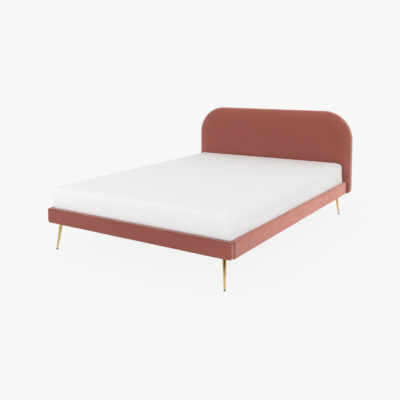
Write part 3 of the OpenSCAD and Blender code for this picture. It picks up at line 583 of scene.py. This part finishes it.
def rounded_block(name, lo, hi, corners, rims):
    """A block whose long corner edges are rounded first and then its rims, each with its own radius."""
    obj = block(name, lo, hi)
    edit(obj)
    for test, radius, segments in corners:
        bevel(obj, test, radius, segments)

    def rim_radius(edge):
        return max((radius for test, radius in rims if test(edge)), default=0)

    bevel_rims(obj, rim_radius, max(radius for test, radius in rims), 6)
    return obj


def open_back(obj, cutter, axis, plane, sign, inside):
    """Sinks the cutter's outline into the cover's back and takes out the floor, which leaves a folded hem."""
    use(obj, "BOOLEAN", operation="DIFFERENCE", object=cutter, solver="EXACT")
    bpy.data.objects.remove(cutter)
    floor = plane - sign * HEM_T

    def in_floor(face):
        middle = face.calc_center_median()
        return near(middle[axis], floor) and abs(face.normal[axis]) > 0.9 and inside(middle)

    edit(obj, "FACE")
    pick(obj, "faces", in_floor)
    bpy.ops.mesh.delete(type="FACE")
    done()


def open_window(obj, lo, hi):
    """Takes the middle out of a cover's back, between two corners, and folds a hem inwards."""
    edit(obj, "FACE")
    for corner in (lo, hi):
        cut(obj, (1, 0, 0), corner)
        cut(obj, (0, 0, 1), corner)

    def in_window(face):
        x, y, z = face.calc_center_median()
        return lo[0] < x < hi[0] and lo[2] < z < hi[2] and abs(y - lo[1]) < MM and abs(face.normal.y) > 0.9

    pick(obj, "faces", in_window)
    bpy.ops.mesh.delete(type="FACE")
    bpy.ops.mesh.select_mode(type="EDGE")
    pick(obj, "edges", lambda e: e.is_boundary)
    bpy.ops.mesh.extrude_edges_move(TRANSFORM_OT_translate={"value": (0, -HEM_T, 0)})
    done()


def rumple(obj, depth, size, seed):
    """Lets the surface wander in and out by a hair, as stretched cloth over foam does."""
    offset = Vector((seed, 3.1 * seed, 7.7 * seed))
    normals = [vertex.normal.copy() for vertex in obj.data.vertices]
    for vertex, normal in zip(obj.data.vertices, normals):
        vertex.co += normal * depth * noise.noise(vertex.co / size + offset)


def sewn_seam(obj, axis, place):
    """Draws the surface in along a plane: a narrow valley between two soft shoulders."""
    edit(obj)
    normal = [0, 0, 0]
    normal[axis] = 1
    for step in (-SEAM_W, -SEAM_W / 2, 0, SEAM_W / 2, SEAM_W):
        at = [0, 0, 0]
        at[axis] = place + step
        cut(obj, normal, at)
    mesh = bmesh.from_edit_mesh(obj.data)
    moved = []
    for vertex in mesh.verts:
        away = abs(vertex.co[axis] - place)
        if away < 0.9 * SEAM_W:
            moved.append((vertex, vertex.normal.copy(), 1 - away / SEAM_W))
    for vertex, normal, share in moved:
        vertex.co -= normal * SEAM_DEPTH * share
    bmesh.update_edit_mesh(obj.data)
    done()


def headboard_depth(p):
    """How far the point p lies inside the headboard's outline, seen from the front."""
    lo, hi = HEADBOARD
    side, top = hi.x - abs(p.x), hi.z - p.z
    corner = Vector((HEADBOARD_CORNER_R - side, HEADBOARD_CORNER_R - top))
    if min(corner) > 0:
        return HEADBOARD_CORNER_R - corner.length
    return min(side, top, p.z - lo.z)


def headboard_rim_radius(edge):
    """The rims' radius: small at the back, and a front roll that tightens round the lower corners."""
    lo, hi = HEADBOARD
    if ends_at(edge, 1, hi.y):
        return HEADBOARD_BACK_R
    if not ends_at(edge, 1, lo.y):
        return 0
    p = (edge.verts[0].co + edge.verts[1].co) / 2
    across = abs(p.x) - (hi.x - HEADBOARD_FOOT_R)
    down = (lo.z + HEADBOARD_FOOT_R) - p.z
    if down <= 0:
        return HEADBOARD_ROLL_R
    turned = math.atan2(down, max(across, 0)) / HEADBOARD_TIGHTENS_OVER
    return max(HEADBOARD_BACK_R, HEADBOARD_ROLL_R - turned * (HEADBOARD_ROLL_R - HEADBOARD_BACK_R))


def headboard_upholstery(material):
    """The headboard's padded cover: two big round corners, a soft crowned front and a sewn border."""
    lo, hi = HEADBOARD
    obj = block("headboard_upholstery", lo, hi)
    edit(obj)
    bevel(obj, lambda e: runs_along(e, 1) and ends_at(e, 2, hi.z), HEADBOARD_CORNER_R, 28)
    bevel(obj, lambda e: runs_along(e, 1) and ends_at(e, 2, lo.z), HEADBOARD_FOOT_R, 8)
    bevel_rims(obj, headboard_rim_radius, HEADBOARD_ROLL_R, 8)
    use(obj, "REMESH", mode="VOXEL", voxel_size=HEADBOARD_VOXEL)
    use(obj, "SMOOTH", factor=0.5, iterations=2)
    for vertex in obj.data.vertices:
        p = vertex.co
        front = clamped((lo.y + HEADBOARD_ROLL_R - p.y) / HEADBOARD_ROLL_R)
        swell = 1 - math.exp(-max(0, headboard_depth(p)) / HEADBOARD_SWELL_REACH)
        p.y -= front * HEADBOARD_CROWN * swell
    rumple(obj, RUMPLE_DEPTH, size=0.16, seed=2.0)
    sewn_seam(obj, 1, lo.y + HEADBOARD_ROLL_R + SEAM_BEHIND_ROLL)
    open_back(obj, headboard_opening(), 1, hi.y, 1, lambda p: headboard_depth(p) > HEADBOARD_RETURN_W - MM)
    paint_light(obj, headboard_painted_light)
    smooth(obj, 60)
    return dress(obj, material, "bed_frame", "velvet", "headboard_cover")


def headboard_painted_light(p):
    """Painted sheen in a band along the rim and a painted highlight on the outer edge, over a little painted
    light on the whole headboard; lighter towards the mattress, and darker below the rails' top.
    """
    rim = 1 - min(1, headboard_depth(p) / SHEEN_BAND_W)
    low = clamped((HEADBOARD_LOW_TOP - p.z) / HEADBOARD_LOW_FADE)
    painted_light = HEADBOARD_PAINTED_LIGHT + HEADBOARD_RIM_SHEEN * rim + HEADBOARD_LOW_LIFT * low
    # painted highlight on the outer edge
    if p.y > HEADBOARD[0].y + HEADBOARD_EDGE_FROM * HEADBOARD_ROLL_R:
        painted_light += HEADBOARD_EDGE_HIGHLIGHT
    if p.z < FOOT_RAIL[1].z:
        painted_light += HEADBOARD_BELOW_RAILS
    return painted_light


def headboard_opening():
    """The outline of the dust cloth's opening, as a cutter that enters the back by a hem's thickness."""
    lo, hi = HEADBOARD
    inset = Vector((HEADBOARD_RETURN_W, 0, HEADBOARD_RETURN_W))
    cutter = block("opening", (lo.x + inset.x, hi.y - HEM_T, lo.z + inset.z),
                   (hi.x - inset.x, hi.y + CUTTER_SPARE, hi.z - inset.z))
    edit(cutter)
    top = lambda e: runs_along(e, 1) and ends_at(e, 2, hi.z - inset.z)
    bevel(cutter, top, HEADBOARD_CORNER_R - HEADBOARD_RETURN_W, 24)
    done()
    return cutter


def paint_light(obj, share):
    """Keeps for each vertex its painted light: painted sheen above 0, and painted shade, dark, below 0."""
    layer = obj.data.attributes.new("painted_light", "FLOAT", "POINT")
    for vertex in obj.data.vertices:
        layer.data[vertex.index].value = share(vertex.co)


def foot_rail_upholstery(material):
    """The foot rail's padded cover, open at the back where the board shows between its folded edges."""
    lo, hi = FOOT_RAIL
    lower = lambda e: runs_along(e, 1) and ends_at(e, 2, lo.z)
    upper = lambda e: runs_along(e, 1) and ends_at(e, 2, hi.z)
    front = lambda e: ends_at(e, 1, lo.y)
    back = lambda e: ends_at(e, 1, hi.y) and min(v.co.z for v in e.verts) > lo.z + FOOT_LOWER_R - MM
    obj = rounded_block("foot_rail_upholstery", lo, hi,
                        ((lower, FOOT_LOWER_R, 8), (upper, FOOT_UPPER_R, 5)),
                        ((front, FOOT_END_R), (back, JOINT_R)))
    edit(obj)
    steps = int(hi.x / RAIL_CUT_STEP)
    for i in range(-steps, steps + 1):
        cut(obj, (1, 0, 0), (i * RAIL_CUT_STEP, 0, 0))
    cut(obj, (0, 0, 1), (0, 0, (lo.z + hi.z) / 2))
    for shade in (JOINT_SHADE_W, JOINT_SHADE_W + MM):
        cut(obj, (0, 1, 0), (0, hi.y - shade, 0))
    done()
    rumple(obj, RUMPLE_DEPTH, size=0.12, seed=5.0)
    open_x = hi.x - COVER_T - RETURN_W
    open_window(obj, (-open_x, hi.y, lo.z + COVER_T), (open_x, hi.y, hi.z - COVER_T - RETURN_W))
    paint_light(obj, foot_rail_painted_light)
    smooth(obj)
    return dress(obj, material, "bed_frame", "velvet", "foot_rail_cover")


def foot_rail_painted_light(p):
    """Painted light that rises a little from left to right and more near the right end, painted sheen on the
    ends, and painted shade on top and in the corner joint.
    """
    lo, hi = FOOT_RAIL
    end = hi.x - abs(p.x)
    # painted shade in the corner joint
    if end < FOOT_END_R and p.y > hi.y - JOINT_SHADE_W - 0.5 * MM:
        return FOOT_JOINT_SHADE
    # painted shade on the top rim
    if p.z > hi.z - RAIL_RIM_H:
        return RIM_SHADE
    # painted light rising from left to right and near the right end, and painted sheen on the rounded ends
    along = (p.x - lo.x) / (hi.x - lo.x)
    near_end = max(0, along - FOOT_NEAR_FROM) / (1 - FOOT_NEAR_FROM)
    front = FOOT_LIGHT_RISE * along + FOOT_LIGHT + FOOT_NEAR_LIGHT * near_end
    return front + FOOT_END_SHEEN * max(0, 1 - end / FOOT_END_R)


def side_rail_painted_light(p):
    """Painted sheen that grows towards the head, with painted shade on the top rim, under the top, near the
    joint and in it.
    """
    lo, hi = RIGHT_RAIL
    from_joint = p.y - lo.y
    # painted shade in the corner joint
    if from_joint < 0.9 * JOINT_R:
        return SIDE_JOINT_SHADE
    along = from_joint / (hi.y - lo.y)
    # painted sheen, growing towards the head
    painted_sheen = SIDE_SHEEN + SIDE_SHEEN_RISE * (1 - (1 - along) ** 2)
    # painted shade under the top and near the joint, and on the top rim, more so towards the head
    shade = max(0, 1 - (hi.z - p.z) / SIDE_SHADE_H)
    joint_lit_share = SIDE_NEAR_JOINT_SHARE + (1 - SIDE_NEAR_JOINT_SHARE) * min(1, from_joint / SIDE_NEAR_JOINT_SHADE_W)
    top = SIDE_RIM_SHARE - SIDE_RIM_FALL * along if p.z > hi.z - RAIL_RIM_H else 1
    return painted_sheen * (1 - SIDE_SHADE * shade) * joint_lit_share * top


def side_rail_upholstery(material):
    """The right rail's padded cover, then its mirror image for the left."""
    lo, hi = RIGHT_RAIL
    along = lambda e: runs_along(e, 1)
    ends = lambda e: ends_at(e, 1, lo.y) or ends_at(e, 1, hi.y)
    obj = rounded_block(
        "right_rail_upholstery", lo, hi, (),
        ((lambda e: along(e) and ends_at(e, 2, hi.z) and ends_at(e, 0, hi.x), RAIL_TOP_R),
         (lambda e: along(e) and ends_at(e, 2, lo.z) and ends_at(e, 0, hi.x), RAIL_BOTTOM_R),
         (lambda e: along(e) and ends_at(e, 2, hi.z) and ends_at(e, 0, lo.x), RAIL_INNER_R),
         (lambda e: ends(e) and not ends_at(e, 0, lo.x), JOINT_R)))
    edit(obj)
    for i in range(1, int((hi.y - lo.y) / RAIL_CUT_STEP)):
        cut(obj, (0, 1, 0), (0, lo.y + i * RAIL_CUT_STEP, 0))
    # a line of edges where the painted shade near the joint ends
    cut(obj, (0, 1, 0), (0, lo.y + SIDE_NEAR_JOINT_SHADE_W, 0))
    for drop in SIDE_RAIL_DROPS:
        cut(obj, (0, 0, 1), (0, 0, hi.z - drop))
    done()
    rumple(obj, RUMPLE_DEPTH, size=0.12, seed=9.0)
    open_z = hi.z - COVER_T - RETURN_W
    spare = Vector((CUTTER_SPARE, CUTTER_SPARE / 2, CUTTER_SPARE / 2))
    opening = block("opening", lo - spare, (lo.x + HEM_T, hi.y + spare.y, open_z))
    open_back(obj, opening, 0, lo.x, -1, lambda p: p.z < open_z)
    paint_light(obj, side_rail_painted_light)
    smooth(obj)
    twin = mirrored(obj, "left_rail_upholstery")
    for piece, node in ((obj, "right_rail_cover"), (twin, "left_rail_cover")):
        dress(piece, material, "bed_frame", "velvet", node)


def foam_copy(node):
    """A copy of a foam's mesh in one skin, in edit mode, to be drawn in a little under its cover."""
    obj = copied(frame["nodes"][node], node + "_block")
    edit(obj, "VERT")
    bpy.ops.mesh.select_all(action="SELECT")
    bpy.ops.mesh.remove_doubles(threshold=0.01 * MM)
    return obj


def headboard_foam(material):
    """The headboard's foam, its skin drawn in, so that none shows at the cover's rolled edges."""
    obj = foam_copy("headboard_foam")
    done()
    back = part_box("headboard_foam")[1].y
    normals = [vertex.normal.copy() for vertex in obj.data.vertices]
    for vertex, normal in zip(obj.data.vertices, normals):
        skin = min(headboard_depth(vertex.co), vertex.co.y - HEADBOARD[0].y)
        if skin < FOAM_SKIN or vertex.co.y > back - MM:
            vertex.co -= normal * FOAM_SHRINK
    return dress(obj, material, "bed_frame", "foam", "headboard_foam")


def rail_foam(node, material, axis):
    """A rail's foam, cut a little short of the cover's ends, so that none shows in the corner joints."""
    obj = foam_copy(node)
    lo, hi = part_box(node)
    for end, inwards in ((lo[axis], FOAM_SHORT), (hi[axis], -FOAM_SHORT)):
        move = [0, 0, 0]
        move[axis] = inwards
        pick(obj, "verts", lambda v: abs(v.co[axis] - end) < 2 * FOAM_SHORT)
        bpy.ops.transform.translate(value=move)
    done()
    rumple(obj, FOAM_RUMPLE_DEPTH, size=0.05, seed=4.0)
    return dress(obj, material, "bed_frame", "foam", node)


# Mattress

def puffed(obj, held, reach, pressure=4.0, frames=20):
    """Swells the fabric as cloth under pressure, and keeps each point within reach of where it began."""
    start = [vertex.co.copy() for vertex in obj.data.vertices]
    group = obj.vertex_groups.new(name="held")
    group.add([v.index for v in obj.data.vertices if held(v.co)], 1.0, "REPLACE")
    bpy.context.view_layer.objects.active = obj
    cloth = obj.modifiers.new("Cloth", "CLOTH")
    cloth.settings.vertex_group_mass = group.name
    cloth.settings.use_pressure = True
    cloth.settings.uniform_pressure_force = pressure
    cloth.settings.effector_weights.gravity = 0
    cloth.collision_settings.use_collision = False
    cloth.point_cache.frame_start = 1
    cloth.point_cache.frame_end = frames
    for number in range(1, frames + 1):
        bpy.context.scene.frame_set(number)
    bpy.ops.object.modifier_apply(modifier=cloth.name)
    bpy.context.scene.frame_set(1)
    obj.vertex_groups.clear()
    for vertex, place in zip(obj.data.vertices, start):
        move = vertex.co - place
        if move.length > reach:
            vertex.co = place + move.normalized() * reach


def mattress_pull(z, rail_top):
    """How far the side lies inside its full width: it follows the rails' inner edge, then rolls outwards."""
    over = MATTRESS_PROUD + FOOT_RAIL[1].y - MATTRESS[0].y
    radius = RAIL_INNER_R + MATTRESS_GAP
    rise = max(0, z - (rail_top - RAIL_INNER_R))
    tuck = 0
    if rise < radius:
        tuck = over - RAIL_INNER_R + math.sqrt(radius ** 2 - rise ** 2)
    rolled = clamped(1 - (rise - radius) / MATTRESS_ROLL_H)
    return max(tuck, (over - MATTRESS_TUCK) * (1 - math.sqrt(1 - rolled ** 2)))


def place_on_mattress(p):
    """Where p lies across and along the mattress, from -1 at its left and foot to 1 at its right and head."""
    return (p.x - MATTRESS_MIDDLE.x) / MATTRESS_HALF.x, (p.y - MATTRESS_MIDDLE.y) / MATTRESS_HALF.y


def mattress_blank(edge_z):
    """A block with rounded corners and rims, remeshed in even faces."""
    lo, hi = MATTRESS
    obj = block("mattress_cushion", lo, (hi.x, hi.y, edge_z))
    edit(obj)
    bevel(obj, lambda e: runs_along(e, 2), MATTRESS_CORNER_R, 8)
    bevel(obj, lambda e: ends_at(e, 2, edge_z), MATTRESS_TOP_ROLL, 8)
    bevel(obj, lambda e: ends_at(e, 2, lo.z), MATTRESS_BOTTOM_ROLL, 5)
    done()
    use(obj, "REMESH", mode="VOXEL", voxel_size=MATTRESS_VOXEL)
    return obj


def crown_mattress(obj, edge_z):
    """Raises the top's middle and its right head corner, and lets the foot corners drop."""
    low = MATTRESS[0].z
    for vertex in obj.data.vertices:
        p = vertex.co
        u, v = place_on_mattress(p)
        rise = clamped((p.z - low) / (edge_z - low))
        drop = MATTRESS_CORNER_DROP * abs(u * v) ** 6 if v < 0 else 0
        flat = max(0, 1 - max(abs(u), abs(v)) ** 2.2)
        tilt = MATTRESS_HEAD_RISE * (1 + u) * (1 + v) / 4
        p.z += rise ** 2 * (MATTRESS_CROWN * flat - drop + tilt)


def seat_mattress(obj, rail_top):
    """Draws the sides in between the rails, lets them swell over the top and leans them to the left."""
    for vertex in obj.data.vertices:
        p = vertex.co
        u, v = place_on_mattress(p)
        side = MATTRESS_HALF.x * (1 - abs(u))
        end = MATTRESS_HALF.y * (1 - abs(v))
        into_corner = max(0, 1 - max(side, end) / (2 * MATTRESS_CORNER_R))
        proud = MATTRESS_PROUD + MATTRESS_CORNER_PROUD * into_corner - mattress_pull(p.z, rail_top)
        above = clamped((p.z - rail_top) / MATTRESS_LEAN_H)
        high = clamped((p.z - rail_top) / MATTRESS_SKEW_H)
        p.x += u * proud - MATTRESS_LEAN * above - MATTRESS_SKEW * high * (1 + v) / 2
        p.y += v * (proud if v < 0 else MATTRESS_HEAD_PROUD * above)


def mattress_cushion(material):
    """The mattress: tucked between the rails below, swelling over them above, with a crowned top."""
    hi = MATTRESS[1]
    rail_top = FOOT_RAIL[1].z
    edge_z = hi.z - MATTRESS_CROWN
    obj = mattress_blank(edge_z)
    crown_mattress(obj, edge_z)
    puffed(obj, lambda p: p.z < rail_top or p.y > hi.y - 2 * MATTRESS_CORNER_R, MATTRESS_PUFF)
    use(obj, "SUBSURF", levels=1, render_levels=1)
    use(obj, "SMOOTH", factor=0.5, iterations=2)
    edit(obj)
    for rise in MATTRESS_CUTS:
        cut(obj, (0, 0, 1), (0, 0, rail_top + rise))
    done()
    seat_mattress(obj, rail_top)
    smooth(obj, 50)
    return dress(obj, material, "mattress", "ticking", "mattress")


# Studio

def linked(tree, *pairs):
    for output, socket in pairs:
        tree.links.new(output, socket)


def floor_finish():
    """Matt and pale, and glowing where it is seen directly, so that it comes out as pale as it is written."""
    material = bpy.data.materials.new("floor")
    material.use_nodes = True
    tree = material.node_tree
    shader = tree.nodes["Principled BSDF"]
    shader.inputs["Base Color"].default_value = STUDIO_TONE
    shader.inputs["Roughness"].default_value = 1.0
    shader.inputs["Specular IOR Level"].default_value = 0.0
    glow = tree.nodes.new("ShaderNodeEmission")
    glow.inputs["Color"].default_value = STUDIO_TONE
    blend = tree.nodes.new("ShaderNodeMixShader")
    seen = seen_directly(tree)
    share = tree.nodes.new("ShaderNodeMath")
    share.operation = "MULTIPLY"
    share.inputs[1].default_value = FLOOR_GLOW
    linked(tree, (seen, share.inputs[0]), (share.outputs[0], blend.inputs[0]),
           (shader.outputs[0], blend.inputs[1]), (glow.outputs[0], blend.inputs[2]),
           (blend.outputs[0], tree.nodes["Material Output"].inputs["Surface"]))
    return material


def studio_world():
    """Even white light from all round, before a pale backdrop."""
    world = bpy.data.worlds.new("studio")
    bpy.context.scene.world = world
    world.use_nodes = True
    tree = world.node_tree
    lit = tree.nodes["Background"]
    lit.inputs["Color"].default_value = (1, 1, 1, 1)
    lit.inputs["Strength"].default_value = WORLD_LIGHT
    backdrop = tree.nodes.new("ShaderNodeBackground")
    backdrop.inputs["Color"].default_value = STUDIO_TONE
    blend = tree.nodes.new("ShaderNodeMixShader")
    linked(tree, (seen_directly(tree), blend.inputs[0]), (lit.outputs[0], blend.inputs[1]),
           (backdrop.outputs[0], blend.inputs[2]),
           (blend.outputs[0], tree.nodes["World Output"].inputs["Surface"]))


def stage():
    """A pale floor, and soft light from all round at which a colour renders about as it is written."""
    floor = primitive(bpy.ops.mesh.primitive_plane_add, "floor", size=FLOOR_SIZE)
    floor.data.materials.append(floor_finish())
    studio_world()
    lamp("front_left", (-2.2, -3.6, 2.2), 32)
    lamp("right", (3.6, -0.8, 2.0), 13)
    bpy.context.scene.view_settings.view_transform = "Standard"


def seen_directly(tree):
    """1 where the camera, a reflection or a view through glass looks straight at the backdrop."""
    path = tree.nodes.new("ShaderNodeLightPath")
    total = path.outputs["Is Camera Ray"]
    for name in ("Is Glossy Ray", "Is Transmission Ray"):
        add = tree.nodes.new("ShaderNodeMath")
        add.operation = "ADD"
        add.use_clamp = True
        tree.links.new(total, add.inputs[0])
        tree.links.new(path.outputs[name], add.inputs[1])
        total = add.outputs[0]
    return total


def lamp(name, place, power):
    data = bpy.data.lights.new(name, "AREA")
    data.size = LAMP_SIZE
    data.energy = power
    obj = bpy.data.objects.new(name, data)
    bpy.context.scene.collection.objects.link(obj)
    obj.location = place
    aim = Vector(LAMP_AIM) - Vector(place)
    obj.rotation_euler = aim.to_track_quat("-Z", "Y").to_euler()


SLOTS = {
    "velvet": velvet(), "foam": foam(), "plywood": plywood(), "pine": pine(), "birch": birch(),
    "dust_cloth": dust_cloth(), "brass": brass(), "black_plastic": moulded("black_plastic", 0.018),
    "black_steel": black_steel(), "zinc": zinc(), "insert_brass": insert_brass(),
    "foot_plastic": moulded("foot_plastic", 0.02), "ticking": ticking(),
}


def finish_cad_nodes():
    for row in frame["record"]["subparts"]:
        node = frame["nodes"][row["node"]]
        node.data.materials.clear()
        node.data.materials.append(SLOTS[row["material_slot"]])


make_camera()
finish_cad_nodes()
headboard_upholstery(SLOTS["velvet"])
foot_rail_upholstery(SLOTS["velvet"])
side_rail_upholstery(SLOTS["velvet"])
headboard_foam(SLOTS["foam"])
rail_foam("foot_rail_foam", SLOTS["foam"], 0)
rail_foam("left_rail_foam", SLOTS["foam"], 1)
rail_foam("right_rail_foam", SLOTS["foam"], 1)
mattress_cushion(SLOTS["ticking"])
stage()
